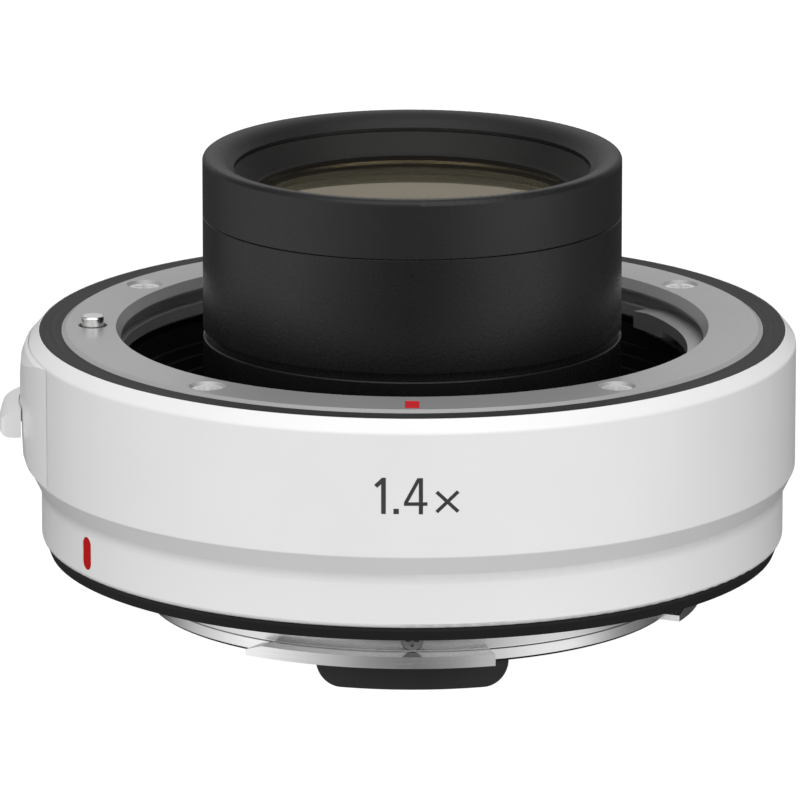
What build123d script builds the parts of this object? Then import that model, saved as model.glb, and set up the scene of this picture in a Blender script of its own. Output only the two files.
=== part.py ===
# Camera teleconverter: a short adapter that holds lens elements between a lens and a camera.
# Z is the optical axis, up towards the lens. The origin is on the axis, in the camera-side
# flange plane. Angles are in degrees about Z from the front (-Y), positive to the right (+X).

import os
from math import cos, radians, sin

from build123d import *

os.makedirs("parts", exist_ok=True)

# Driving dimensions: the interfaces that a lens and a camera meet, in millimetres
flange_gap = 20.3
throat_radius = 27.0
flange_width = 5.53
mount_ring_height = 3.4
male_lug_reach = 1.95
neck_wall = 1.65
mount_screw_inset = 2.85
lock_pin_inset = 2.62
lock_pin_angle = -89.3
lock_turn = 59.6
male_lugs = [(-34.3, 16.3), (66.2, 112.0), (160.0, 218.0)]
contact_inset = 1.25
contact_pitch = 3.2
contact_count = 10

# Driving dimensions: the outside of the casing and of the optics barrel
trim_width = 2.07
shoulder_width = 1.0
foot_step = 1.11
foot_wall = 0.89
throat_floor_width = 7.6
barrel_height = 16.2

# Clearances and small shared sizes
seat_gap = 0.02
slip_gap = 0.05
side_gap = 0.15
running_gap = 0.05
overrun = 1.0
quarter_turn = 90
half_turn = 180
whole_turn = 360

# Radii that several pieces share, stepped out and in from the clear throat
flange_radius = throat_radius + flange_width
rim_radius = flange_radius + trim_width
casing_radius = rim_radius + shoulder_width
casing_step_radius = casing_radius - foot_step
casing_bore_radius = casing_step_radius - foot_wall
mount_screw_radius = throat_radius + mount_screw_inset
lock_pin_out = throat_radius + lock_pin_inset
bayonet_lug_radius = throat_radius - running_gap
bayonet_neck_radius = bayonet_lug_radius - male_lug_reach
neck_inner_radius = bayonet_neck_radius - neck_wall
contact_radius = neck_inner_radius - contact_inset
barrel_radius = throat_radius - throat_floor_width

# Levels that several pieces share
frame_top = flange_gap - mount_ring_height
frame_bottom = 2.2
top_plate_thickness = 2.5
top_plate_bottom = frame_top - top_plate_thickness
arm_top = top_plate_bottom - side_gap
barrel_top = flange_gap + barrel_height
hood_height = 5.44
hood_seam = barrel_top - hood_height
groove_top = 20.4
groove_bottom = 19.6

# Cross recesses of the screws, as shares of the head's radius and height
recess_length_share = 1.26
recess_width_share = 0.3
recess_depth_share = 0.72


def polar(radius, angle):
    """The point at a radius and at an angle from the front."""
    return (radius * sin(radians(angle)), -radius * cos(radians(angle)))


def ring(outer, inner, bottom, top, mode=Mode.ADD):
    """A plain ring about Z, in the part that is open."""
    with BuildSketch(Plane.XY.offset(bottom)) as base:
        Circle(outer)
        Circle(inner, mode=Mode.SUBTRACT)
    extrude(base.sketch, amount=top - bottom, mode=mode)


def disc(radius, bottom, top, mode=Mode.ADD):
    """A plain disc about Z, or a round hole on the axis."""
    with BuildSketch(Plane.XY.offset(bottom)) as base:
        Circle(radius)
    extrude(base.sketch, amount=top - bottom, mode=mode)


def posts(radius, places, bottom, top, mode=Mode.ADD):
    """Round posts, or round holes, that stand at the given points."""
    with BuildSketch(Plane.XY.offset(bottom)) as base:
        with Locations(*places):
            Circle(radius)
    extrude(base.sketch, amount=top - bottom, mode=mode)


def block(x, y, z, mode=Mode.ADD):
    """A straight-sided block between pairs of x, y and z."""
    with BuildSketch(Plane.XY.offset(z[0])) as base:
        with Locations(((x[0] + x[1]) / 2, (y[0] + y[1]) / 2)):
            Rectangle(x[1] - x[0], y[1] - y[0])
    extrude(base.sketch, amount=z[1] - z[0], mode=mode)


def sector(outer, inner, start, end, bottom, top, mode=Mode.ADD):
    """A curved block: the part of a ring between two angles."""
    with BuildSketch(Plane.XY.offset(bottom)) as base:
        with BuildLine():
            outside = CenterArc((0, 0), outer, start - quarter_turn, end - start)
            inside = CenterArc((0, 0), inner, start - quarter_turn, end - start)
            Line(outside @ 0, inside @ 0)
            Line(outside @ 1, inside @ 1)
        make_face()
    extrude(base.sketch, amount=top - bottom, mode=mode)


def turned(outline, rounds=(), place=(0, 0), mode=Mode.ADD):
    """A turned body from the (radius, height) points of its outline.

    Each round is an outline point and the radius that rounds it. The axis stands at the place.
    """
    origin = (place[0], place[1], 0)
    with BuildSketch(Plane(origin=origin, x_dir=(1, 0, 0), z_dir=(0, -1, 0))) as profile:
        with BuildLine():
            Polyline(*outline, close=True)
        make_face()
        for point, radius in rounds:
            fillet(profile.vertices().sort_by_distance(Vector(*point))[0], radius)
    revolve(profile.sketch, axis=Axis(origin, (0, 0, 1)), mode=mode)


def ramp(angle, side, run, radius, half_depth, top, drop):
    """Slopes the end of a lug at an angle; side is 1 where the lug goes on to larger angles."""
    x, y = polar(radius, angle)
    along = (side * cos(radians(angle)), side * sin(radians(angle)), 0)
    facing = Plane(origin=(x, y, top), x_dir=along, z_dir=(-side * x, -side * y, 0))
    with BuildSketch(facing) as wedge:
        with BuildLine():
            Polyline(
                (run, 0), (-overrun, drop * (run + overrun) / run),
                (-overrun, -overrun), (run, -overrun), close=True,
            )
        make_face()
    extrude(wedge.sketch, amount=half_depth, both=True, mode=Mode.SUBTRACT)


def screw(head_radius, head_height, shank_radius, length, countersunk=True):
    """A cross-recess screw along Z, with the top of its head at zero and its shank below."""
    foot_radius = shank_radius if countersunk else head_radius
    outline = [(0, 0), (head_radius, 0), (foot_radius, -head_height)]
    if not countersunk:
        outline.append((shank_radius, -head_height))
    outline += [(shank_radius, -length), (0, -length)]
    long_side = recess_length_share * head_radius
    short_side = recess_width_share * head_radius
    with BuildPart() as made:
        turned(outline)
        with BuildSketch() as cross:
            Rectangle(long_side, short_side)
            Rectangle(short_side, long_side)
        extrude(cross.sketch, amount=-recess_depth_share * head_height, mode=Mode.SUBTRACT)
    return made.part


# Lens-side mount ring: a chromed bayonet with three inner lugs
ring_bevel = 0.44
ring_bevel_drop = 0.25
ring_rim_height = 1.85
ring_rim_bottom = flange_gap - ring_rim_height
ring_seat_inset = 1.03
ring_seat_radius = flange_radius - ring_seat_inset
throat_chamfer = 0.48
throat_land = 0.9
throat_land_bottom = flange_gap - throat_land
throat_lip = 0.2
undercut_depth = 1.1
undercut_radius = throat_radius + undercut_depth
ledge_drop = 2.34
ledge_top = flange_gap - ledge_drop
female_lug_reach = 1.45
lug_inner_radius = throat_radius - female_lug_reach
lug_drop = 2.1
lug_top = flange_gap - lug_drop
lug_thickness = 1.1
lug_underside = lug_top - lug_thickness
lug_stop_height = 1.8
lug_bottom = lug_top - lug_stop_height
lug_stop_span = 11.0
lug_end_clearance = 0.5
lug_ramp_run = 2.4
lens_screw_angles = [-122.2, -38.3, 38.3, 122.2]
lens_screw_places = [polar(mount_screw_radius, angle) for angle in lens_screw_angles]
lock_pin_place = polar(lock_pin_out, lock_pin_angle)
lock_pin_hole_radius = 1.35
index_inner_inset = 1.85
index_inner_radius = throat_radius + index_inner_inset
index_outer_inset = 0.88
index_outer_radius = flange_radius - index_outer_inset
index_width = 1.28
index_depth = 0.2
index_sink = 0.03

countersink_angle = 90
countersink_radius = 1.7
screw_head_sink = 0.25
screw_head_radius = countersink_radius - screw_head_sink - seat_gap
screw_shank_radius = 0.8
screw_head_height = screw_head_radius - screw_shank_radius
lens_screw_length = 8.5

gap_spans = [(start + lock_turn, end + lock_turn) for start, end in male_lugs]
gap_ends = [end for start, end in gap_spans]
next_gap_starts = [start for start, end in gap_spans[1:]] + [gap_spans[0][0] + whole_turn]
female_lugs = [
    (end + lug_end_clearance, start - lug_end_clearance)
    for end, start in zip(gap_ends, next_gap_starts)
]

with BuildPart() as lens_mount_ring:
    lug_middle = (undercut_radius + lug_inner_radius) / 2
    for start, end in female_lugs:
        sector(undercut_radius, lug_inner_radius, start, end, lug_underside, lug_top)
        ramp(end, -1, lug_ramp_run, lug_middle, undercut_radius - lug_inner_radius,
             lug_top, lug_top - ledge_top)
        sector(throat_radius, lug_inner_radius, end - lug_stop_span, end, lug_bottom,
               lug_underside)
    turned(
        [
            (throat_radius + throat_chamfer, flange_gap),
            (flange_radius - ring_bevel, flange_gap),
            (flange_radius, flange_gap - ring_bevel_drop),
            (flange_radius, ring_rim_bottom),
            (ring_seat_radius, ring_rim_bottom),
            (ring_seat_radius, frame_top),
            (throat_radius, frame_top),
            (throat_radius, ledge_top),
            (undercut_radius, ledge_top),
            (undercut_radius, throat_land_bottom - throat_lip),
            (throat_radius, throat_land_bottom - throat_lip),
            (throat_radius, throat_land_bottom),
        ]
    )
    with Locations(*[(x, y, flange_gap) for x, y in lens_screw_places]):
        CounterSinkHole(screw_shank_radius + slip_gap, countersink_radius,
                        lens_screw_length, countersink_angle)
    posts(lock_pin_hole_radius, [lock_pin_place], frame_top, flange_gap, mode=Mode.SUBTRACT)
    block(
        (-index_width / 2, index_width / 2),
        (-index_outer_radius, -index_inner_radius),
        (flange_gap - index_depth, flange_gap),
        mode=Mode.SUBTRACT,
    )
lens_mount_ring.part.label = "lens_mount_ring"
export_step(lens_mount_ring.part, "parts/lens_mount_ring.step")

with BuildPart() as lens_side_index:
    block(
        (-index_width / 2 + seat_gap, index_width / 2 - seat_gap),
        (-index_outer_radius + seat_gap, -index_inner_radius - seat_gap),
        (flange_gap - index_depth, flange_gap - index_sink),
    )
lens_side_index.part.label = "lens_side_index"
export_step(lens_side_index.part, "parts/lens_side_index.step")

lens_screw = screw(screw_head_radius, screw_head_height, screw_shank_radius, lens_screw_length)
with BuildPart() as lens_mount_screws:
    with Locations(*[(x, y, flange_gap - screw_head_sink) for x, y in lens_screw_places]):
        add(lens_screw)
lens_mount_screws.part.label = "lens_mount_screws"
export_step(lens_mount_screws.part, "parts/lens_mount_screws.step")

# Leaf springs under the lugs: a flat ring with three tongues that press on a lens's lugs
spring_thickness = 0.24
spring_ring_inset = 0.3
spring_ring_inner = throat_radius + spring_ring_inset
spring_ring_width = 0.65
spring_ring_outer = spring_ring_inner + spring_ring_width
tongue_reach = 1.5
tongue_inner_radius = spring_ring_inner - tongue_reach
tongue_drop = 0.52
spring_web_shift = 0.25
spring_web_inner = spring_ring_inner - spring_web_shift
spring_web_outer = spring_ring_outer - spring_web_shift
spring_web_span = 6.0
tongue_end_margin = 4.0
spring_top = frame_top - seat_gap
tongue_top = spring_top - tongue_drop

with BuildPart() as mount_leaf_springs:
    ring(spring_ring_outer, spring_ring_inner, spring_top - spring_thickness, spring_top)
    for start, end in female_lugs:
        root = start + tongue_end_margin
        tip = end - tongue_end_margin
        tongue_bottom = tongue_top - spring_thickness
        sector(spring_ring_inner, tongue_inner_radius, root, tip, tongue_bottom, tongue_top)
        web_end = root + spring_web_span
        sector(spring_web_outer, spring_web_inner, root, web_end, tongue_bottom, spring_top)
mount_leaf_springs.part.label = "mount_leaf_springs"
export_step(mount_leaf_springs.part, "parts/mount_leaf_springs.step")

# Outer casing: a white tube with a lip at the top, a chamfered rim and a narrower foot
casing_bottom = 0.55
rim_drop = 0.23
rim_land = 0.06
rim_top = flange_gap - rim_drop
shoulder_height = 1.12
shoulder_round = 0.5
taper_top = 7.47
taper_bottom = 5.2
taper_top_round = 0.35
taper_bottom_round = 2.2
foot_round = 0.45
lip_inner_radius = ring_seat_radius + side_gap
lip_top = ring_rim_bottom - seat_gap
ring_well_radius = flange_radius + slip_gap
trim_floor = rim_top - 0.62

lever_angle = -90.0
cover_thickness = 0.82
pad_radius = casing_radius + cover_thickness
cover_bow_offset = 10.0
cover_bow_radius = pad_radius - cover_bow_offset
cover_bow_place = polar(cover_bow_offset, lever_angle)
cover_bottom = 7.6
cover_top = rim_top - shoulder_height
cover_shape = [
    (0.4, 8.0), (0.59, 8.6), (0.82, 14.6), (0.8, 16.0), (0.68, 17.65), (0.33, 18.6),
]
cover_outline = [
    (casing_bore_radius, cover_bottom),
    (casing_radius, cover_bottom),
    *[(casing_radius + out, up) for out, up in cover_shape],
    (casing_radius, cover_top),
    (casing_bore_radius, cover_top),
]
lever_travel = 1.5
stem_half_width = 3.0
stem_height = 1.2
stem_drop = 1.25
stem_top = arm_top - stem_drop
stem_bottom = stem_top - stem_height
slot_margin = 0.2
slot_half_width = stem_half_width + slot_margin
slot_top = stem_top + slot_margin
slot_bottom = stem_bottom - lever_travel - slot_margin

side_index_angle = -lock_turn
side_index_bottom = 1.45
side_index_top = 4.55
side_index_width = 1.5
side_index_depth = 0.25
side_index_middle = (side_index_bottom + side_index_top) / 2
side_index_height = side_index_top - side_index_bottom


def side_index(height, width, mode=Mode.ADD):
    """The upright bar of the casing's index mark, out to past the casing's foot."""
    x, y = polar(casing_step_radius - side_index_depth, side_index_angle)
    facing = Plane(origin=(x, y, side_index_middle), x_dir=(0, 0, 1), z_dir=(x, y, 0))
    with BuildSketch(facing) as bar:
        SlotOverall(height, width)
    extrude(bar.sketch, amount=side_index_depth + overrun, mode=mode)


def lever_slot(outer):
    """Cuts the opening that the release lever's stem passes through."""
    block((-outer - overrun, -casing_bore_radius + overrun),
          (-slot_half_width, slot_half_width), (slot_bottom, slot_top), mode=Mode.SUBTRACT)


with BuildPart() as outer_casing:
    turned(
        [
            (rim_radius, rim_top),
            (rim_radius + rim_land, rim_top),
            (casing_radius, rim_top - shoulder_height),
            (casing_radius, taper_top),
            (casing_step_radius, taper_bottom),
            (casing_step_radius, casing_bottom),
            (casing_bore_radius, casing_bottom),
            (casing_bore_radius, frame_top),
            (lip_inner_radius, frame_top),
            (lip_inner_radius, lip_top),
            (ring_well_radius, lip_top),
            (ring_well_radius, trim_floor),
            (rim_radius, trim_floor),
        ],
        rounds=[
            ((casing_radius, rim_top - shoulder_height), shoulder_round),
            ((casing_radius, taper_top), taper_top_round),
            ((casing_step_radius, taper_bottom), taper_bottom_round),
            ((casing_step_radius, casing_bottom), foot_round),
        ],
    )
    lever_slot(casing_radius)
    side_index(side_index_height, side_index_width, mode=Mode.SUBTRACT)
outer_casing.part.label = "outer_casing"
export_step(outer_casing.part, "parts/outer_casing.step")

with BuildPart() as casing_side_index:
    side_index(side_index_height - slip_gap, side_index_width - slip_gap)
    ring(casing_step_radius - index_sink, casing_bore_radius, 0, taper_bottom,
         mode=Mode.INTERSECT)
casing_side_index.part.label = "casing_side_index"
export_step(casing_side_index.part, "parts/casing_side_index.step")

# Lever cover: a raised pad whose sides and foot run softly into the casing
with BuildPart() as lever_cover:
    posts(cover_bow_radius, [cover_bow_place], cover_bottom, cover_top)
    turned(cover_outline, mode=Mode.INTERSECT)
    disc(casing_radius + seat_gap, 0, rim_top, mode=Mode.SUBTRACT)
    lever_slot(pad_radius)
lever_cover.part.label = "lever_cover"
export_step(lever_cover.part, "parts/lever_cover.step")

# Front trim ring: a thin black ring let into the casing's rim
with BuildPart() as front_trim_ring:
    ring(rim_radius - slip_gap, ring_well_radius, trim_floor, rim_top - seat_gap)
front_trim_ring.part.label = "front_trim_ring"
export_step(front_trim_ring.part, "parts/front_trim_ring.step")

# Main frame: the black cast body that carries both mounts, the optics and the lock
frame_radius = casing_bore_radius - side_gap
frame_bore_inset = 0.2
frame_inner_radius = throat_radius + frame_bore_inset
frame_wall = 0.9
wall_radius = frame_inner_radius + frame_wall
bottom_plate_top = 4.0
plate_ledge_width = 1.0
plate_ledge_height = 1.2
plate_ledge_radius = frame_inner_radius - plate_ledge_width
floor_bottom = 8.4
floor_top = 10.4
barrel_hole_radius = barrel_radius + side_gap
spring_well_radius = spring_ring_outer + side_gap
spring_well_floor = spring_top - spring_thickness - seat_gap
tongue_well_inset = 0.6
tongue_well_radius = frame_inner_radius + tongue_well_inset
tongue_well_depth = 0.95
tongue_well_floor = frame_top - tongue_well_depth
column_radius = 2.0
rear_boss_top = 6.0
camera_screw_top = 5.2
camera_screw_angles = [-135, -45, 45, 135]
camera_screw_places = [polar(mount_screw_radius, angle) for angle in camera_screw_angles]

board_bottom = 6.6
board_thickness = 1.0
board_half_angle = 64
board_post_radius = 1.1
board_post_inset = 1.85
board_post_out = frame_radius - board_post_inset
board_post_angles = [-57, -20, 20, 57]
board_post_places = [polar(board_post_out, angle) for angle in board_post_angles]
board_screw_places = [board_post_places[0], board_post_places[-1]]
board_screw_head = 0.9
board_screw_head_height = 0.45
board_screw_shank = 0.5
board_screw_length = 2.8

block_half_angle = 24.0
block_margin_angle = 0.5
block_inner_width = 1.2
block_outer_width = 3.0
block_inner_radius = contact_radius - block_inner_width
block_outer_radius = contact_radius + block_outer_width
block_bottom = 6.0
block_top = 11.6
block_window_outer = block_outer_radius + side_gap
block_window_inner = block_inner_radius - side_gap
block_window_angle = block_half_angle + block_margin_angle

flex_half_width = 4.0
flex_thickness = 0.15

barrel_screw_inset = 2.4
barrel_screw_out = barrel_radius + barrel_screw_inset
barrel_screw_angles = [45, 135, 225, 315]
barrel_screw_places = [polar(barrel_screw_out, angle) for angle in barrel_screw_angles]
barrel_screw_shank = 0.6
barrel_screw_head = 1.3
barrel_screw_head_height = 0.6
barrel_screw_length = 4.2

pin_radius = 1.05
pin_tail_radius = 0.9
pin_guide_radius = 1.6
pin_guide_top = 7.0
bush_radius = 1.5
rod_radius = 0.6
rod_inset = 1.85
rod_out = frame_radius - rod_inset
rod_spread = 5.0
rod_places = [(-rod_out, -rod_spread), (-rod_out, rod_spread)]
rod_end_margin = 0.6
rod_bottom = 2.6
rod_top = frame_top - rod_end_margin

with BuildPart() as main_frame:
    ring(wall_radius, frame_inner_radius, frame_bottom, frame_top)
    ring(frame_radius, frame_inner_radius, top_plate_bottom, frame_top)
    ring(frame_radius, frame_inner_radius, frame_bottom, bottom_plate_top)
    posts(column_radius, lens_screw_places, bottom_plate_top, top_plate_bottom)
    posts(column_radius, camera_screw_places, bottom_plate_top, rear_boss_top)
    posts(board_post_radius, board_post_places, bottom_plate_top, board_bottom)
    posts(pin_guide_radius, [lock_pin_place], bottom_plate_top, pin_guide_top)
    disc(frame_inner_radius, frame_bottom, frame_top, mode=Mode.SUBTRACT)
    ring(wall_radius, plate_ledge_radius, floor_bottom - plate_ledge_height,
         floor_bottom - seat_gap)
    disc(spring_well_radius, spring_well_floor, frame_top, mode=Mode.SUBTRACT)
    disc(tongue_well_radius, tongue_well_floor, frame_top, mode=Mode.SUBTRACT)
    posts(screw_shank_radius + slip_gap, lens_screw_places,
          flange_gap - lens_screw_length - overrun, frame_top, mode=Mode.SUBTRACT)
    posts(screw_shank_radius + slip_gap, camera_screw_places,
          frame_bottom, camera_screw_top + slip_gap, mode=Mode.SUBTRACT)
    posts(board_screw_shank + seat_gap, board_screw_places,
          bottom_plate_top, board_bottom, mode=Mode.SUBTRACT)
    posts(bush_radius + seat_gap, [lock_pin_place], top_plate_bottom, frame_top,
          mode=Mode.SUBTRACT)
    posts(pin_tail_radius + running_gap, [lock_pin_place], bottom_plate_top, pin_guide_top,
          mode=Mode.SUBTRACT)
    posts(rod_radius + seat_gap, rod_places, rod_bottom - slip_gap, rod_top + slip_gap,
          mode=Mode.SUBTRACT)
    block((-flex_half_width - side_gap, flex_half_width + side_gap),
          (-wall_radius - overrun, -frame_inner_radius + overrun),
          (block_bottom, board_bottom + board_thickness), mode=Mode.SUBTRACT)
main_frame.part.label = "main_frame"
export_step(main_frame.part, "parts/main_frame.step")

# Optics plate: the floor of the throat, on the frame's ledge, that carries the barrel
liner_radius = frame_inner_radius - side_gap

with BuildPart() as optics_plate:
    ring(liner_radius, barrel_hole_radius, floor_bottom, floor_top)
    posts(barrel_screw_shank + slip_gap, barrel_screw_places, floor_bottom, floor_top,
          mode=Mode.SUBTRACT)
    sector(block_window_outer, block_window_inner, -block_window_angle, block_window_angle,
           floor_bottom, floor_top, mode=Mode.SUBTRACT)
optics_plate.part.label = "optics_plate"
export_step(optics_plate.part, "parts/optics_plate.step")

# Throat liner: a threaded ring with black anti-reflection steps that clamps the optics plate
liner_gap = 0.6
liner_inner_radius = barrel_radius + liner_gap
liner_bottom = floor_top + seat_gap
liner_floor = 11.0
liner_steps = [(1.45, 12.1), (0.95, 13.2), (0.45, 14.2)]

with BuildPart() as throat_liner:
    ring(liner_radius, liner_inner_radius, liner_bottom, liner_floor)
    step_bottom = liner_floor
    for step_width, step_top in liner_steps:
        ring(liner_radius, liner_radius - step_width, step_bottom, step_top)
        step_bottom = step_top
    sector(block_window_outer, liner_inner_radius - overrun, -block_window_angle,
           block_window_angle, liner_bottom, liner_floor, mode=Mode.SUBTRACT)
throat_liner.part.label = "throat_liner"
export_step(throat_liner.part, "parts/throat_liner.step")

# Lock pin with its bush and spring: it stops a fitted lens from turning
pin_proud = 0.95
pin_top = flange_gap + pin_proud
pin_top_round = 0.22
arm_thickness = 1.0
collar_radius = 1.4
collar_top = arm_top - arm_thickness - 2 * slip_gap
collar_bottom = collar_top - 0.8
pin_bottom = 5.8
pin_spring_outer = 1.3
pin_spring_inner = 1.0

with BuildPart() as lock_pin:
    turned(
        [
            (0, pin_top),
            (pin_radius, pin_top),
            (pin_radius, collar_top),
            (collar_radius, collar_top),
            (collar_radius, collar_bottom),
            (pin_tail_radius, collar_bottom),
            (pin_tail_radius, pin_bottom),
            (0, pin_bottom),
        ],
        rounds=[((pin_radius, pin_top), pin_top_round)],
        place=lock_pin_place,
    )
lock_pin.part.label = "lock_pin"
export_step(lock_pin.part, "parts/lock_pin.step")

with BuildPart() as lock_pin_bush:
    posts(bush_radius, [lock_pin_place], top_plate_bottom, frame_top - seat_gap)
    posts(pin_radius + running_gap, [lock_pin_place], top_plate_bottom, frame_top,
          mode=Mode.SUBTRACT)
lock_pin_bush.part.label = "lock_pin_bush"
export_step(lock_pin_bush.part, "parts/lock_pin_bush.step")

with BuildPart() as lock_pin_spring:
    posts(pin_spring_outer, [lock_pin_place], pin_guide_top + slip_gap, collar_bottom - slip_gap)
    posts(pin_spring_inner, [lock_pin_place], pin_guide_top, collar_bottom, mode=Mode.SUBTRACT)
lock_pin_spring.part.label = "lock_pin_spring"
export_step(lock_pin_spring.part, "parts/lock_pin_spring.step")

# Release lever: a knob outside, a stem through the casing, and a carriage on two rods
knob_half_width = 4.4
knob_gap = 0.15
knob_reach = 2.72
knob_end_reach = 2.5
knob_corner_round = 0.6
knob_shape = [
    (-0.4, -0.75), (0.6, -0.87), (1.5, -1.22), (2.25, -1.72), (2.6, -2.15), (2.75, -2.6),
    (2.6, -3.05), (2.3, -3.45), (1.85, -3.65), (-0.4, -3.65),
]
knob_outline = [(-casing_radius - out, arm_top + up) for out, up in knob_shape]
stem_reach = 1.2
stem_outer_x = casing_radius + stem_reach
carriage_inset = 0.75
carriage_thickness = 0.9
carriage_outer_x = frame_radius - carriage_inset
carriage_inner_x = carriage_outer_x - carriage_thickness
carriage_half_width = 6.1
carriage_height = 4.05
carriage_bottom = arm_top - carriage_height
ear_reach = 1.3
ear_inner_x = carriage_inner_x - ear_reach
ear_inner_y = 3.9
fork_root = 0.6
fork_back_x = carriage_inner_x - fork_root
tine_overhang = 0.84
tine_tip_x = lock_pin_out - tine_overhang
tine_width = 1.0
pin_x, pin_y = lock_pin_place
tine_inner = pin_radius + side_gap + slip_gap
tine_outer = tine_inner + tine_width

with BuildPart() as release_lever:
    with BuildSketch(Plane.XZ.offset(-knob_half_width)):
        with BuildLine():
            curve = Spline(*knob_outline)
            Line(curve @ 1, curve @ 0)
        make_face()
    extrude(amount=2 * knob_half_width)
    with BuildSketch() as plan:
        with BuildLine():
            bow = ThreePointArc((-casing_radius - knob_end_reach, -knob_half_width),
                                (-casing_radius - knob_reach, 0),
                                (-casing_radius - knob_end_reach, knob_half_width))
            Polyline(bow @ 1, (-casing_bore_radius, knob_half_width),
                     (-casing_bore_radius, -knob_half_width), bow @ 0)
        make_face()
        bow_ends = [vertex for vertex in plan.vertices() if vertex.X < -casing_radius]
        fillet(bow_ends, knob_corner_round)
    extrude(plan.sketch, amount=arm_top, mode=Mode.INTERSECT)
    posts(cover_bow_radius + knob_gap, [cover_bow_place], 0, flange_gap, mode=Mode.SUBTRACT)
    block((-stem_outer_x, -carriage_inner_x), (-stem_half_width, stem_half_width),
          (stem_bottom, stem_top))
    block((-carriage_outer_x, -carriage_inner_x), (-carriage_half_width, carriage_half_width),
          (carriage_bottom, arm_top))
    for side in (-1, 1):
        ear_y = sorted((side * ear_inner_y, side * carriage_half_width))
        block((-carriage_outer_x, -ear_inner_x), ear_y, (carriage_bottom, arm_top))
    block((-carriage_inner_x, -fork_back_x), (pin_y - tine_outer, pin_y + tine_outer),
          (arm_top - arm_thickness, arm_top))
    for side in (-1, 1):
        tine_y = sorted((pin_y + side * tine_inner, pin_y + side * tine_outer))
        block((-fork_back_x, -tine_tip_x), tine_y, (arm_top - arm_thickness, arm_top))
    posts(rod_radius + running_gap, rod_places, carriage_bottom, arm_top, mode=Mode.SUBTRACT)
release_lever.part.label = "release_lever"
export_step(release_lever.part, "parts/release_lever.step")

with BuildPart() as lever_guide_rods:
    posts(rod_radius, rod_places, rod_bottom, rod_top)
lever_guide_rods.part.label = "lever_guide_rods"
export_step(lever_guide_rods.part, "parts/lever_guide_rods.step")

lever_spring_outer = 1.05
lever_spring_inner = 0.75
with BuildPart() as lever_springs:
    posts(lever_spring_outer, rod_places, bottom_plate_top + slip_gap, carriage_bottom - slip_gap)
    posts(lever_spring_inner, rod_places, bottom_plate_top, carriage_bottom, mode=Mode.SUBTRACT)
lever_springs.part.label = "lever_springs"
export_step(lever_springs.part, "parts/lever_springs.step")

# Camera-side mount: a steel bayonet with a flange, a register, a neck and three lugs
camera_flange_inset = 0.13
camera_flange_radius = flange_radius - camera_flange_inset
seal_shelf = 1.45
register_radius = bayonet_lug_radius - slip_gap
register_depth = 0.8
neck_bottom = -5.53
neck_line = -4.1
neck_line_depth = 0.2
neck_line_width = 0.12
neck_flare = 0.25
neck_foot_step = 0.12
neck_foot_radius = bayonet_neck_radius - neck_foot_step
neck_chamfer = 0.25
male_lug_top = -4.2
male_lug_bottom = -5.3
male_lug_ramp_run = 1.74
male_lug_ramp_drop = 0.54
socket_width = 2.7
socket_length = 3.3
block_screw_height = -3.15
block_screw_head = 0.95
block_screw_head_height = 0.6
block_screw_shank = 0.6
block_screw_length = 3.4
block_screw_seat = Location((0, -bayonet_neck_radius, block_screw_height), (quarter_turn, 0, 0))

with BuildPart() as camera_mount:
    lug_root = neck_foot_radius - neck_chamfer
    lug_middle = (bayonet_lug_radius + lug_root) / 2
    for start, end in male_lugs:
        sector(bayonet_lug_radius, lug_root, start, end, male_lug_bottom, male_lug_top)
        ramp(start, 1, male_lug_ramp_run, lug_middle, bayonet_lug_radius - lug_root,
             male_lug_top, male_lug_ramp_drop)
    turned(
        [
            (neck_inner_radius, frame_bottom),
            (frame_radius, frame_bottom),
            (frame_radius, seal_shelf),
            (camera_flange_radius, seal_shelf),
            (camera_flange_radius, 0),
            (register_radius, 0),
            (register_radius, -register_depth),
            (bayonet_neck_radius + neck_flare, -register_depth),
            (bayonet_neck_radius, neck_line),
            (bayonet_neck_radius - neck_line_depth, neck_line),
            (bayonet_neck_radius - neck_line_depth, neck_line - neck_line_width),
            (neck_foot_radius, neck_line - 2 * neck_line_width),
            (neck_foot_radius, neck_bottom + neck_chamfer),
            (neck_foot_radius - neck_chamfer, neck_bottom),
            (neck_inner_radius, neck_bottom),
        ]
    )
    with Locations(*[Location((x, y, 0), (half_turn, 0, 0)) for x, y in camera_screw_places]):
        CounterSinkHole(screw_shank_radius + slip_gap, countersink_radius,
                        frame_bottom, countersink_angle)
    with BuildSketch(Plane(origin=(pin_x, pin_y, 0), x_dir=(pin_x, pin_y, 0))):
        SlotOverall(socket_length, socket_width)
    extrude(amount=frame_bottom, mode=Mode.SUBTRACT)
    with Locations(block_screw_seat):
        CounterBoreHole(block_screw_shank + slip_gap, block_screw_head + slip_gap,
                        block_screw_head_height + slip_gap, block_screw_length)
camera_mount.part.label = "camera_mount"
export_step(camera_mount.part, "parts/camera_mount.step")

camera_screw = screw(screw_head_radius, screw_head_height, screw_shank_radius,
                     camera_screw_top - screw_head_sink)
with BuildPart() as camera_mount_screws:
    with Locations(*[Location((x, y, screw_head_sink), (half_turn, 0, 0))
                     for x, y in camera_screw_places]):
        add(camera_screw)
camera_mount_screws.part.label = "camera_mount_screws"
export_step(camera_mount_screws.part, "parts/camera_mount_screws.step")

# Seal ring: a rubber skirt around the camera-side flange
seal_bore = camera_flange_radius + side_gap
seal_shape = [
    (0, 0.25), (0, 1.4), (0.9, 1.4), (0.9, 0.5), (1.57, 0.5), (1.55, 0.2),
    (1.2, -0.72), (0.9, -0.72), (0.55, 0.1), (0.35, 0.25),
]
seal_outline = [(seal_bore + out, height) for out, height in seal_shape]
with BuildPart() as seal_ring:
    turned(seal_outline)
seal_ring.part.label = "seal_ring"
export_step(seal_ring.part, "parts/seal_ring.step")

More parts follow.
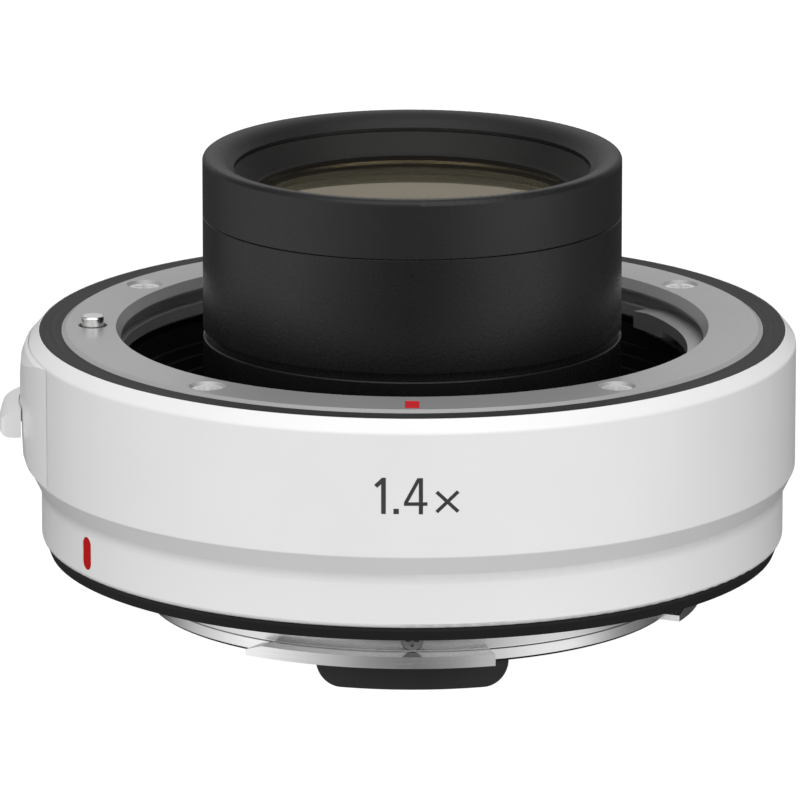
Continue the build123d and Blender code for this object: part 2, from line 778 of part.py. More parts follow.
# Rear contact block: flat pads that meet the camera's contact pins
rear_block_outer = neck_inner_radius - slip_gap
rear_block_width = 1.5
rear_block_inner = contact_radius - rear_block_width
rear_block_half_angle = 22.2
rear_block_bottom = -8.3
rear_block_top = 1.6
rear_block_round = 2.4
pad_sink = 0.02
pad_thickness = 0.3
contact_pad_length = 1.6
contact_pad_width = 0.9
contact_span = (contact_count - 1) * contact_pitch
contact_start = -contact_span / 2
contact_places = [
    polar(contact_radius, contact_start + index * contact_pitch) for index in range(contact_count)
]


def contact_pads(length, width, bottom, top, mode=Mode.ADD):
    """Flat pads on the contact circle, one for each contact."""
    with BuildSketch(Plane.XY.offset(bottom)) as base:
        with PolarLocations(contact_radius, contact_count, contact_start - quarter_turn,
                            contact_span, endpoint=True):
            Rectangle(length, width)
    extrude(base.sketch, amount=top - bottom, mode=mode)


with BuildPart() as rear_contact_block:
    sector(rear_block_outer, rear_block_inner, -rear_block_half_angle, rear_block_half_angle,
           rear_block_bottom, rear_block_top)
    lower_ends = rear_contact_block.edges().filter_by(GeomType.LINE).group_by(Axis.Z)[0]
    fillet(lower_ends, rear_block_round)
    contact_pads(contact_pad_length + 2 * seat_gap, contact_pad_width + 2 * seat_gap,
                 rear_block_bottom, rear_block_bottom + pad_sink + pad_thickness,
                 mode=Mode.SUBTRACT)
    with Locations(block_screw_seat):
        Hole(block_screw_shank + seat_gap, block_screw_length + slip_gap)
rear_contact_block.part.label = "rear_contact_block"
export_step(rear_contact_block.part, "parts/rear_contact_block.step")

with BuildPart() as rear_contacts:
    contact_pads(contact_pad_length, contact_pad_width, rear_block_bottom + pad_sink,
                 rear_block_bottom + pad_sink + pad_thickness)
rear_contacts.part.label = "rear_contacts"
export_step(rear_contacts.part, "parts/rear_contacts.step")

block_screw = screw(block_screw_head, block_screw_head_height, block_screw_shank,
                    block_screw_length, countersunk=False)
with BuildPart() as contact_block_screw:
    with Locations(block_screw_seat):
        add(block_screw)
contact_block_screw.part.label = "contact_block_screw"
export_step(contact_block_screw.part, "parts/contact_block_screw.step")

# Front contact block: sprung pins that meet the lens's contact pads
block_flange_top = floor_bottom - seat_gap
block_flange_bottom = 7.8
block_flange_grow = 0.5
block_flange_angle = block_half_angle + 1.6
contact_pin_radius = 0.36
contact_pin_top = 12.6
contact_collar_radius = 0.45
contact_collar_top = 8.9
contact_collar_bottom = 8.5
contact_tail_radius = 0.24
contact_tail_bottom = 7.2
contact_well_bottom = 6.45
contact_spring_inner = 0.32
contact_tip_round = 0.3

with BuildPart() as front_contact_block:
    sector(block_outer_radius, block_inner_radius, -block_half_angle, block_half_angle,
           block_bottom, block_top)
    sector(block_outer_radius + block_flange_grow, block_inner_radius - block_flange_grow,
           -block_flange_angle, block_flange_angle, block_flange_bottom, block_flange_top)
    posts(contact_pin_radius + running_gap, contact_places, contact_collar_top, block_top,
          mode=Mode.SUBTRACT)
    posts(contact_collar_radius + running_gap, contact_places, contact_well_bottom,
          contact_collar_top + slip_gap, mode=Mode.SUBTRACT)
front_contact_block.part.label = "front_contact_block"
export_step(front_contact_block.part, "parts/front_contact_block.step")

with BuildPart() as front_contact_pins:
    for contact_place in contact_places:
        turned(
            [
                (0, contact_pin_top),
                (contact_pin_radius, contact_pin_top),
                (contact_pin_radius, contact_collar_top),
                (contact_collar_radius, contact_collar_top),
                (contact_collar_radius, contact_collar_bottom),
                (contact_tail_radius, contact_collar_bottom),
                (contact_tail_radius, contact_tail_bottom),
                (0, contact_tail_bottom),
            ],
            rounds=[((contact_pin_radius, contact_pin_top), contact_tip_round)],
            place=contact_place,
        )
front_contact_pins.part.label = "front_contact_pins"
export_step(front_contact_pins.part, "parts/front_contact_pins.step")

with BuildPart() as contact_springs:
    posts(contact_collar_radius, contact_places, contact_well_bottom + slip_gap,
          contact_collar_bottom - seat_gap)
    posts(contact_spring_inner, contact_places, contact_well_bottom, contact_collar_bottom,
          mode=Mode.SUBTRACT)
contact_springs.part.label = "contact_springs"
export_step(contact_springs.part, "parts/contact_springs.step")

# Circuit board with its chips, screws and two flat cables
board_wall_gap = 0.8
board_rim_gap = 0.45
board_inner_radius = wall_radius + board_wall_gap
board_outer_radius = frame_radius - board_rim_gap
board_notch_radius = 2.3
chip_inset = 2.1
chip_out = board_inner_radius + chip_inset
chip_length = 4.4
chip_width = 2.4
chip_height = 1.0
chip_pitch = 13
chip_count = 3
board_top = board_bottom + board_thickness

with BuildPart() as circuit_board:
    sector(board_outer_radius, board_inner_radius, -board_half_angle, board_half_angle,
           board_bottom, board_top)
    posts(board_notch_radius, lens_screw_places, board_bottom, board_top, mode=Mode.SUBTRACT)
    posts(board_screw_shank + slip_gap, board_screw_places, board_bottom, board_top,
          mode=Mode.SUBTRACT)
circuit_board.part.label = "circuit_board"
export_step(circuit_board.part, "parts/circuit_board.step")

with BuildPart() as board_chips:
    with BuildSketch(Plane.XY.offset(board_top)):
        with PolarLocations(chip_out, chip_count, -quarter_turn - chip_pitch, 2 * chip_pitch,
                            endpoint=True):
            Rectangle(chip_width, chip_length)
    extrude(amount=chip_height)
board_chips.part.label = "board_chips"
export_step(board_chips.part, "parts/board_chips.step")

board_screw = screw(board_screw_head, board_screw_head_height, board_screw_shank,
                    board_screw_length, countersunk=False)
with BuildPart() as board_screws:
    with Locations(*[(x, y, board_top + board_screw_head_height) for x, y in board_screw_places]):
        add(board_screw)
board_screws.part.label = "board_screws"
export_step(board_screws.part, "parts/board_screws.step")

flex_outer_y = -board_inner_radius - 2 * overrun
with BuildPart() as board_flex:
    block((-flex_half_width, flex_half_width), (flex_outer_y, -block_outer_radius - seat_gap),
          (board_bottom - slip_gap - flex_thickness, board_bottom - slip_gap))
board_flex.part.label = "board_flex"
export_step(board_flex.part, "parts/board_flex.step")

with BuildPart() as contact_flex:
    block((-flex_half_width, flex_half_width), (-contact_radius, -contact_radius + flex_thickness),
          (rear_block_top + seat_gap, block_bottom - seat_gap))
contact_flex.part.label = "contact_flex"
export_step(contact_flex.part, "parts/contact_flex.step")

# Barrel base: the black tube and flange that hang in the frame's floor and hold the optics
base_tube_bottom = 6.6
base_tube_top = groove_bottom - seat_gap
seam_chamfer = 0.1
barrel_wall = 1.8
base_flange_width = 4.6
base_tube_inner = barrel_radius - barrel_wall
base_flange_radius = barrel_radius + base_flange_width
base_notch_angle = 27
baffle_top = -2.2
baffle_thickness = 1.2
pillar_inset = 1.9
pillar_out = barrel_radius + pillar_inset
pillar_radius = 1.6
pillar_angles = [90, 180, 270]
pillar_places = [polar(pillar_out, angle) for angle in pillar_angles]
baffle_screw_shank = 0.55
baffle_screw_head = 1.1
baffle_screw_length = 4.0

with BuildPart() as barrel_base:
    turned(
        [
            (base_tube_inner, base_tube_bottom),
            (barrel_radius, base_tube_bottom),
            (barrel_radius, base_tube_top - seam_chamfer),
            (barrel_radius - seam_chamfer, base_tube_top),
            (base_tube_inner, base_tube_top),
        ],
    )
    ring(base_flange_radius, base_tube_inner, base_tube_bottom, floor_bottom - seat_gap)
    sector(base_flange_radius + overrun, liner_inner_radius, -base_notch_angle, base_notch_angle,
           base_tube_bottom, floor_bottom, mode=Mode.SUBTRACT)
    posts(pillar_radius, pillar_places, baffle_top, base_tube_bottom)
    posts(barrel_screw_shank + slip_gap, barrel_screw_places, base_tube_bottom, floor_bottom,
          mode=Mode.SUBTRACT)
    posts(baffle_screw_shank + seat_gap, pillar_places, baffle_top,
          baffle_top + baffle_screw_length, mode=Mode.SUBTRACT)
barrel_base.part.label = "barrel_base"
export_step(barrel_base.part, "parts/barrel_base.step")

barrel_screw = screw(barrel_screw_head, barrel_screw_head_height, barrel_screw_shank,
                     barrel_screw_length, countersunk=False)
with BuildPart() as barrel_screws:
    with Locations(*[Location((x, y, base_tube_bottom - barrel_screw_head_height),
                              (half_turn, 0, 0)) for x, y in barrel_screw_places]):
        add(barrel_screw)
barrel_screws.part.label = "barrel_screws"
export_step(barrel_screws.part, "parts/barrel_screws.step")

# Lens elements: each is an edge cylinder between two spherical faces
cement_gap = 0.02
cell_gap = 0.05
front_lens_inset = 4.5
front_lens_radius = barrel_radius - front_lens_inset
front_lens_bottom = 30.4
front_lens_top = 33.0
triplet_inset = 1.1
triplet_radius = front_lens_radius - triplet_inset
triplet_bottom = 21.52
triplet_joint_low = 23.6
triplet_joint_high = 26.6
triplet_top = 28.6
doublet_inset = 0.4
doublet_radius = triplet_radius - doublet_inset
doublet_bottom = 9.17
doublet_joint = 12.6
doublet_top = 15.6
rear_lens_inset = 3.6
rear_lens_radius = base_tube_inner - rear_lens_inset
rear_lens_bottom = 1.42
rear_lens_top = 4.5
front_lens_crown = 0.03
front_lens_hollow = -0.75
triplet_crowns = [0.8, -1.2, 0.8, 0.3]
doublet_crowns = [1.0, -1.4, 0.9]
rear_lens_crown = 1.0
rear_lens_hollow = -0.3

# Each entry is a radius, an edge from bottom to top, and how far the middle of the top face
# and of the bottom face stand above the edge
lens_elements = [
    (front_lens_radius, front_lens_bottom, front_lens_top, front_lens_crown, front_lens_hollow),
    (triplet_radius, triplet_joint_high, triplet_top, triplet_crowns[0], triplet_crowns[1]),
    (triplet_radius, triplet_joint_low, triplet_joint_high - cement_gap,
     triplet_crowns[1], triplet_crowns[2]),
    (triplet_radius, triplet_bottom, triplet_joint_low - cement_gap,
     triplet_crowns[2], triplet_crowns[3]),
    (doublet_radius, doublet_joint, doublet_top, doublet_crowns[0], doublet_crowns[1]),
    (doublet_radius, doublet_bottom, doublet_joint - cement_gap,
     doublet_crowns[1], doublet_crowns[2]),
    (rear_lens_radius, rear_lens_bottom, rear_lens_top, rear_lens_crown, rear_lens_hollow),
]
for number, (radius, bottom, top, crown, hollow) in enumerate(lens_elements, start=1):
    with BuildPart() as lens_element:
        with BuildSketch(Plane.XZ):
            with BuildLine():
                TangentArc((0, top + crown), (radius, top), tangent=(1, 0))
                Line((radius, top), (radius, bottom))
                TangentArc((0, bottom + hollow), (radius, bottom), tangent=(1, 0))
                Line((0, bottom + hollow), (0, top + crown))
            make_face()
        revolve(axis=Axis.Z)
    lens_element.part.label = f"lens_element_{number}"
    export_step(lens_element.part, f"parts/lens_element_{number}.step")

# Optics barrel: the front tube, screwed into the base, with a groove at the joint
groove_depth = 0.5
groove_radius = barrel_radius - groove_depth
spigot_radius = base_tube_inner - cell_gap
barrel_bottom = 17.0
barrel_stop_width = 1.2
barrel_stop_radius = triplet_radius - barrel_stop_width
triplet_bore = triplet_radius + cell_gap
front_bore = front_lens_radius + cell_gap
triplet_shoulder = triplet_bottom - seat_gap
front_shoulder = 28.65
barrel_neck_step = 1.2
barrel_neck_radius = barrel_radius - barrel_neck_step
barrel_neck_top = 32.9

with BuildPart() as optics_barrel:
    turned(
        [
            (barrel_stop_radius, barrel_bottom),
            (spigot_radius, barrel_bottom),
            (spigot_radius, groove_bottom),
            (groove_radius, groove_bottom),
            (groove_radius, groove_top),
            (barrel_radius, groove_top),
            (barrel_radius, hood_seam - slip_gap - seam_chamfer),
            (barrel_radius - seam_chamfer, hood_seam - slip_gap),
            (barrel_neck_radius, hood_seam - slip_gap),
            (barrel_neck_radius, barrel_neck_top),
            (front_bore, barrel_neck_top),
            (front_bore, front_shoulder),
            (triplet_bore, front_shoulder),
            (triplet_bore, triplet_shoulder),
            (barrel_stop_radius, triplet_shoulder),
        ]
    )
optics_barrel.part.label = "optics_barrel"
export_step(optics_barrel.part, "parts/optics_barrel.step")

# Front hood ring: the top of the barrel, screwed over the barrel's neck
hood_wall = 2.45
hood_inner_radius = barrel_radius - hood_wall
hood_shoulder = barrel_neck_top + slip_gap
hood_lip_width = 0.45
hood_lip_drop = 1.5
hood_lip_height = 0.3
hood_lip_radius = hood_inner_radius - hood_lip_width
hood_lip_bottom = barrel_top - hood_lip_drop
hood_crest_width = 1.5
hood_crest_radius = barrel_radius - hood_crest_width
hood_crest_round = 2.5
hood_outer_round = 0.5

with BuildPart() as front_hood_ring:
    turned(
        [
            (barrel_neck_radius + slip_gap, hood_seam),
            (barrel_radius, hood_seam),
            (barrel_radius, barrel_top),
            (hood_crest_radius, barrel_top),
            (hood_lip_radius, hood_lip_bottom + hood_lip_height),
            (hood_lip_radius, hood_lip_bottom),
            (hood_inner_radius, hood_lip_bottom),
            (hood_inner_radius, hood_shoulder),
            (barrel_neck_radius + slip_gap, hood_shoulder),
        ],
        rounds=[
            ((barrel_radius, barrel_top), hood_outer_round),
            ((hood_crest_radius, barrel_top), hood_crest_round),
        ],
    )
front_hood_ring.part.label = "front_hood_ring"
export_step(front_hood_ring.part, "parts/front_hood_ring.step")

# Rings and stops that hold the lens elements
retainer_foot = front_lens_top + seat_gap
retainer_top = hood_lip_bottom - slip_gap
retainer_lip_top = 33.2
retainer_lip = 0.3
retainer_land = 0.5
retainer_radius = hood_inner_radius - cell_gap
retainer_outline = [
    (front_lens_radius - retainer_lip, retainer_foot),
    (retainer_radius, retainer_foot),
    (retainer_radius, retainer_top),
    (retainer_radius - retainer_land, retainer_top),
    (front_lens_radius - cell_gap, retainer_lip_top),
]
with BuildPart() as front_lens_retainer:
    turned(retainer_outline)
front_lens_retainer.part.label = "front_lens_retainer"
export_step(front_lens_retainer.part, "parts/front_lens_retainer.step")

spacer_outer = front_bore - cell_gap
spacer_width = 2.0
spacer_inner = front_lens_radius - spacer_width
spacer_inner_top = 30.1
spacer_foot_margin = 0.1
spacer_foot_inner = triplet_radius - spacer_foot_margin
spacer_foot_top = 29.1
with BuildPart() as front_spacer_ring:
    turned(
        [
            (spacer_foot_inner, front_shoulder + seat_gap),
            (spacer_outer, front_shoulder + seat_gap),
            (spacer_outer, front_lens_bottom - seat_gap),
            (spacer_inner, spacer_inner_top),
            (spacer_inner, spacer_foot_top),
        ]
    )
front_spacer_ring.part.label = "front_spacer_ring"
export_step(front_spacer_ring.part, "parts/front_spacer_ring.step")

cell_top = 16.8
stop_inner_width = 1.2
stop_inner_radius = doublet_radius - stop_inner_width
with BuildPart() as flare_stop:
    ring(spigot_radius, stop_inner_radius, cell_top + seat_gap, barrel_bottom - seat_gap)
flare_stop.part.label = "flare_stop"
export_step(flare_stop.part, "parts/flare_stop.step")

cell_bottom = -1.5
cell_flange_inset = 0.4
cell_flange_radius = barrel_radius - cell_flange_inset
cell_flange_bottom = 5.6
cell_waist_width = 0.7
cell_waist_radius = doublet_radius - cell_waist_width
rear_seat_width = 0.15
rear_seat_radius = rear_lens_radius - rear_seat_width
rear_seat_height = 0.35
retaining_thread_inset = 1.25
retaining_thread_radius = rear_lens_radius + retaining_thread_inset
rear_bore = rear_lens_radius + cell_gap
doublet_bore = doublet_radius + cell_gap

with BuildPart() as rear_lens_cell:
    turned(
        [
            (retaining_thread_radius, cell_bottom),
            (spigot_radius, cell_bottom),
            (spigot_radius, cell_flange_bottom),
            (cell_flange_radius, cell_flange_bottom),
            (cell_flange_radius, base_tube_bottom - seat_gap),
            (spigot_radius, base_tube_bottom - seat_gap),
            (spigot_radius, cell_top),
            (doublet_bore, cell_top),
            (doublet_bore, doublet_bottom - seat_gap),
            (cell_waist_radius, doublet_bottom - seat_gap),
            (cell_waist_radius, rear_lens_top + rear_seat_height),
            (rear_seat_radius, rear_lens_top + slip_gap),
            (rear_bore, rear_lens_top + slip_gap),
            (rear_bore, rear_lens_bottom - seat_gap),
            (retaining_thread_radius, rear_lens_bottom - seat_gap),
        ]
    )
rear_lens_cell.part.label = "rear_lens_cell"
export_step(rear_lens_cell.part, "parts/rear_lens_cell.step")

retainer_foot_width = 0.2
retainer_foot_inner = doublet_radius - retainer_foot_width
retainer_foot_top = 15.95
with BuildPart() as doublet_retainer:
    turned(
        [
            (retainer_foot_inner, doublet_top + 2 * seat_gap),
            (doublet_radius, doublet_top + 2 * seat_gap),
            (doublet_radius, cell_top - seat_gap),
            (stop_inner_radius, cell_top - seat_gap),
            (stop_inner_radius, retainer_foot_top),
        ]
    )
doublet_retainer.part.label = "doublet_retainer"
export_step(doublet_retainer.part, "parts/doublet_retainer.step")

rear_ring_bottom = 0.2
rear_ring_width = 1.2
rear_ring_inner = rear_lens_radius - rear_ring_width
rear_ring_top = rear_lens_bottom - 3 * seat_gap
spanner_notch_width = 1.4
spanner_notch_depth = 0.6
spanner_notch_reach = 0.2
spanner_notch_radius = rear_lens_radius + spanner_notch_reach
with BuildPart() as rear_retaining_ring:
    ring(retaining_thread_radius - slip_gap, rear_ring_inner, rear_ring_bottom, rear_ring_top)
    block((-spanner_notch_width / 2, spanner_notch_width / 2),
          (-spanner_notch_radius, spanner_notch_radius),
          (rear_ring_bottom, rear_ring_bottom + spanner_notch_depth), mode=Mode.SUBTRACT)
rear_retaining_ring.part.label = "rear_retaining_ring"
export_step(rear_retaining_ring.part, "parts/rear_retaining_ring.step")

# Rear baffle: a black plate with the picture window, under the optics
baffle_bottom = baffle_top - baffle_thickness
baffle_radius = neck_inner_radius - side_gap
window_width = 25.0
window_height = 17.5
window_corner = 1.5
baffle_cut_angle = rear_block_half_angle + block_margin_angle
with BuildPart() as rear_baffle:
    with BuildSketch(Plane.XY.offset(baffle_bottom)):
        Circle(baffle_radius)
        RectangleRounded(window_width, window_height, window_corner, mode=Mode.SUBTRACT)
    extrude(amount=baffle_thickness - seat_gap)
    sector(baffle_radius + overrun, rear_block_inner - side_gap, -baffle_cut_angle,
           baffle_cut_angle, baffle_bottom, baffle_top, mode=Mode.SUBTRACT)
    with Locations(*[Location((x, y, baffle_bottom), (half_turn, 0, 0))
                     for x, y in pillar_places]):
        CounterSinkHole(baffle_screw_shank + slip_gap, baffle_screw_head + slip_gap,
                        baffle_thickness, countersink_angle)
rear_baffle.part.label = "rear_baffle"
export_step(rear_baffle.part, "parts/rear_baffle.step")

baffle_screw = screw(baffle_screw_head, baffle_screw_head - baffle_screw_shank,
                     baffle_screw_shank, baffle_screw_length)
with BuildPart() as baffle_screws:
    with Locations(*[Location((x, y, baffle_bottom + seat_gap), (half_turn, 0, 0))
                     for x, y in pillar_places]):
        add(baffle_screw)
baffle_screws.part.label = "baffle_screws"
export_step(baffle_screws.part, "parts/baffle_screws.step")
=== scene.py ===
import math

import bmesh
import bpy
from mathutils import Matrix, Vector


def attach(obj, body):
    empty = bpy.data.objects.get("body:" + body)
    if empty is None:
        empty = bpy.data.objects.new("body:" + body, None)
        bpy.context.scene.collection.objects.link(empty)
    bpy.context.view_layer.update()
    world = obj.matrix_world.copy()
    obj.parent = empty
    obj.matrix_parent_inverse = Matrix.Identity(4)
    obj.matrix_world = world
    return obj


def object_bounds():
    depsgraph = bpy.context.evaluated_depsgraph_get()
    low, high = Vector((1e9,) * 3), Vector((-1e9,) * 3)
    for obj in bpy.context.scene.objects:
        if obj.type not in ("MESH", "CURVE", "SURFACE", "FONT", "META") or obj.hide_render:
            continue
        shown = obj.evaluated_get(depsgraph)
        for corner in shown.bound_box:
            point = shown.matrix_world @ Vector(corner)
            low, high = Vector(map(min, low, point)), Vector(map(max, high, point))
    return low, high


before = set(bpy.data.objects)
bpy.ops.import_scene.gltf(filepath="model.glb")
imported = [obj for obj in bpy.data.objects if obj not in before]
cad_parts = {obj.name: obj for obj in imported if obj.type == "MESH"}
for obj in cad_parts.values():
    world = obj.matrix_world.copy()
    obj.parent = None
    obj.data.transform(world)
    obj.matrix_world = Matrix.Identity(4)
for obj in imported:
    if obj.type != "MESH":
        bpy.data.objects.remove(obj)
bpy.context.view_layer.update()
MM = 0.001

# Finishes: what all of them share
CLOUD_SCALE = 0.12
FINE_SCALE = 9.0
BUMP_DEPTH = 0.02 * MM
COAT_ROUGHNESS = 0.1
SMEAR_SCALE = 0.4
SMEAR_ROUGHNESS = (0.004, 0.02)

# The colour mix node's sockets, which have no names of their own
MIX_SHARE = 0
MIX_FIRST = 6
MIX_SECOND = 7
MIX_RESULT = 2


# Node helpers: every texture reads the piece's own place in the shared frame, in millimetres
def add_node(tree, kind, **settings):
    made = tree.nodes.new(kind)
    for key, value in settings.items():
        setattr(made, key, value)
    return made


def place_mm(tree):
    spot = add_node(tree, "ShaderNodeTexCoord")
    scaled = add_node(tree, "ShaderNodeVectorMath", operation="SCALE")
    scaled.inputs["Scale"].default_value = 1 / MM
    tree.links.new(spot.outputs["Object"], scaled.inputs[0])
    return scaled.outputs[0]


def turned_place(tree, place, stretch):
    """A coordinate that changes with radius and height, and hardly around the axis."""
    flat = add_node(tree, "ShaderNodeVectorMath", operation="MULTIPLY")
    flat.inputs[1].default_value = (1, 1, 0)
    tree.links.new(place, flat.inputs[0])
    radius = add_node(tree, "ShaderNodeVectorMath", operation="LENGTH")
    tree.links.new(flat.outputs[0], radius.inputs[0])
    parts = add_node(tree, "ShaderNodeSeparateXYZ")
    tree.links.new(place, parts.inputs[0])
    angle = add_node(tree, "ShaderNodeMath", operation="ARCTAN2")
    tree.links.new(parts.outputs["X"], angle.inputs[0])
    tree.links.new(parts.outputs["Y"], angle.inputs[1])
    around = add_node(tree, "ShaderNodeMath", operation="MULTIPLY")
    around.inputs[1].default_value = stretch
    tree.links.new(angle.outputs[0], around.inputs[0])
    joined = add_node(tree, "ShaderNodeCombineXYZ")
    tree.links.new(radius.outputs["Value"], joined.inputs["X"])
    tree.links.new(parts.outputs["Z"], joined.inputs["Y"])
    tree.links.new(around.outputs[0], joined.inputs["Z"])
    return joined.outputs[0]


def noise(tree, place, scale, detail=2.0, rough=0.5):
    made = add_node(tree, "ShaderNodeTexNoise")
    made.inputs["Scale"].default_value = scale
    made.inputs["Detail"].default_value = detail
    made.inputs["Roughness"].default_value = rough
    tree.links.new(place, made.inputs["Vector"])
    return made.outputs["Fac"]


def mapped(tree, value, low, high, start=0.3, end=0.7):
    made = add_node(tree, "ShaderNodeMapRange")
    made.inputs["From Min"].default_value = start
    made.inputs["From Max"].default_value = end
    made.inputs["To Min"].default_value = low
    made.inputs["To Max"].default_value = high
    tree.links.new(value, made.inputs["Value"])
    return made.outputs["Result"]


def surface(name, color, other, rough, grain, metallic=0.0, specular=0.5, turned=None,
            coat=0.0, bump=0.1, fine=0.0):
    """A finish: two close colours in soft clouds, a roughness range, and a bump.

    grain is the bump's scale per millimetre. turned makes the bump the rings of a lathe, and
    says how fast they change on the way round. fine is the strength of a second, finer bump.
    """
    made = bpy.data.materials.new(name)
    made.use_nodes = True
    tree = made.node_tree
    shader = tree.nodes["Principled BSDF"]
    place = place_mm(tree)
    clouds = noise(tree, place, CLOUD_SCALE, detail=4.0)
    mix = add_node(tree, "ShaderNodeMix", data_type="RGBA")
    mix.inputs[MIX_FIRST].default_value = (*color, 1)
    mix.inputs[MIX_SECOND].default_value = (*other, 1)
    tree.links.new(mapped(tree, clouds, 0, 1), mix.inputs[MIX_SHARE])
    tree.links.new(mix.outputs[MIX_RESULT], shader.inputs["Base Color"])
    speckle_place = turned_place(tree, place, turned) if turned is not None else place
    speckle = noise(tree, speckle_place, grain, detail=3.0, rough=0.6)
    tree.links.new(mapped(tree, speckle, rough[0], rough[1]), shader.inputs["Roughness"])
    relief = add_node(tree, "ShaderNodeBump")
    relief.inputs["Strength"].default_value = bump
    relief.inputs["Distance"].default_value = BUMP_DEPTH
    tree.links.new(speckle, relief.inputs["Height"])
    if fine:
        second = add_node(tree, "ShaderNodeBump")
        second.inputs["Strength"].default_value = fine
        second.inputs["Distance"].default_value = BUMP_DEPTH
        tree.links.new(noise(tree, place, FINE_SCALE), second.inputs["Height"])
        tree.links.new(second.outputs[0], relief.inputs["Normal"])
    tree.links.new(relief.outputs[0], shader.inputs["Normal"])
    shader.inputs["Metallic"].default_value = metallic
    shader.inputs["Specular IOR Level"].default_value = specular
    shader.inputs["Coat Weight"].default_value = coat
    shader.inputs["Coat Roughness"].default_value = COAT_ROUGHNESS
    return made


def dress(material, *names):
    for name in names:
        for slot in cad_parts[name].material_slots:
            slot.link = "OBJECT"
            slot.material = material


def gray(level):
    return (level, level, level)


# Each finish, then the nodes that it dresses
FINISHES = [
    ("white_paint",
     dict(color=gray(0.80), other=gray(0.785), rough=(0.30, 0.38), grain=1.6, bump=0.06,
          fine=0.02),
     ["outer_casing", "lever_cover", "release_lever"]),
    ("mount_chrome",
     dict(color=gray(0.42), other=gray(0.40), rough=(0.44, 0.52), grain=7.0, metallic=0.45,
          turned=0.6, bump=0.04, coat=0.35),
     ["lens_mount_ring"]),
    ("mount_steel",
     dict(color=gray(0.62), other=gray(0.57), rough=(0.2, 0.28), grain=7.0, metallic=1.0,
          turned=0.6, bump=0.04),
     ["camera_mount"]),
    ("bright_steel",
     dict(color=(0.93, 0.93, 0.92), other=(0.86, 0.86, 0.85), rough=(0.18, 0.28), grain=6.0,
          metallic=1.0, bump=0.15),
     ["camera_mount_screws", "board_screws", "barrel_screws", "baffle_screws", "lock_pin",
      "lever_guide_rods", "lever_springs", "lock_pin_spring", "contact_springs",
      "mount_leaf_springs"]),
    ("satin_steel",
     dict(color=gray(0.90), other=gray(0.82), rough=(0.26, 0.36), grain=6.0, metallic=0.55),
     ["lens_mount_screws"]),
    ("dull_steel",
     dict(color=gray(0.30), other=gray(0.26), rough=(0.3, 0.4), grain=6.0, metallic=1.0),
     ["contact_block_screw"]),
    ("brass",
     dict(color=(0.6, 0.45, 0.2), other=(0.5, 0.36, 0.15), rough=(0.3, 0.45), grain=6.0,
          metallic=1.0),
     ["lock_pin_bush"]),
    ("gold_plate",
     dict(color=(0.85, 0.62, 0.25), other=(0.78, 0.54, 0.2), rough=(0.18, 0.3), grain=5.0,
          metallic=1.0),
     ["rear_contacts", "front_contact_pins"]),
    ("black_anodised",
     dict(color=gray(0.005), other=gray(0.007), rough=(0.25, 0.35), grain=4.0, specular=0.28,
          bump=0.9),
     ["optics_barrel", "barrel_base"]),
    ("hood_black",
     dict(color=gray(0.006), other=gray(0.008), rough=(0.36, 0.46), grain=4.0, specular=0.34,
          bump=0.6),
     ["front_hood_ring"]),
    ("inner_black",
     dict(color=gray(0.007), other=(0.010, 0.010, 0.009), rough=(0.5, 0.65), grain=5.0,
          specular=0.25, bump=0.3),
     ["main_frame", "optics_plate", "throat_liner", "front_lens_retainer",
      "front_spacer_ring", "flare_stop", "rear_lens_cell", "doublet_retainer",
      "rear_retaining_ring", "rear_baffle"]),
    ("trim_black",
     dict(color=gray(0.032), other=gray(0.036), rough=(0.5, 0.6), grain=7.0, specular=0.1,
          turned=0.6, bump=0.05),
     ["front_trim_ring"]),
    ("block_black",
     dict(color=gray(0.013), other=(0.017, 0.017, 0.016), rough=(0.5, 0.62), grain=4.0,
          specular=0.35, bump=0.3),
     ["rear_contact_block", "front_contact_block", "board_chips"]),
    ("seal_rubber",
     dict(color=gray(0.010), other=gray(0.013), rough=(0.6, 0.75), grain=3.0, specular=0.25,
          bump=0.3),
     ["seal_ring"]),
    ("green_board",
     dict(color=(0.02, 0.09, 0.04), other=(0.03, 0.11, 0.05), rough=(0.3, 0.4), grain=3.0),
     ["circuit_board"]),
    ("amber_film",
     dict(color=(0.5, 0.25, 0.06), other=(0.42, 0.2, 0.05), rough=(0.25, 0.35), grain=2.0),
     ["board_flex", "contact_flex"]),
    ("red_mark",
     dict(color=(0.50, 0.006, 0.008), other=(0.45, 0.005, 0.007), rough=(0.45, 0.55),
          grain=4.0, specular=0.05),
     ["casing_side_index"]),
    ("red_mark_light",
     dict(color=(0.66, 0.022, 0.03), other=(0.60, 0.018, 0.026), rough=(0.35, 0.45),
          grain=4.0, specular=0.3),
     ["lens_side_index"]),
]
for name, look, nodes in FINISHES:
    dress(surface(name, **look), *nodes)


def lens_glass(name, clear, index, mirrored):
    """Coated glass: clear tints what passes through, and mirrored tints the reflection."""
    made = bpy.data.materials.new(name)
    made.use_nodes = True
    tree = made.node_tree
    tree.nodes.remove(tree.nodes["Principled BSDF"])
    smear = mapped(tree, noise(tree, place_mm(tree), SMEAR_SCALE), *SMEAR_ROUGHNESS)
    inside = add_node(tree, "ShaderNodeBsdfRefraction")
    inside.inputs["Color"].default_value = (*clear, 1)
    inside.inputs["IOR"].default_value = index
    outside = add_node(tree, "ShaderNodeBsdfAnisotropic")
    outside.inputs["Color"].default_value = (*mirrored, 1)
    gloss = add_node(tree, "ShaderNodeFresnel")
    gloss.inputs["IOR"].default_value = index
    both = add_node(tree, "ShaderNodeMixShader")
    tree.links.new(smear, inside.inputs["Roughness"])
    tree.links.new(smear, outside.inputs["Roughness"])
    tree.links.new(gloss.outputs[0], both.inputs[0])
    tree.links.new(inside.outputs[0], both.inputs[1])
    tree.links.new(outside.outputs[0], both.inputs[2])
    tree.links.new(both.outputs[0], tree.nodes["Material Output"].inputs["Surface"])
    return made


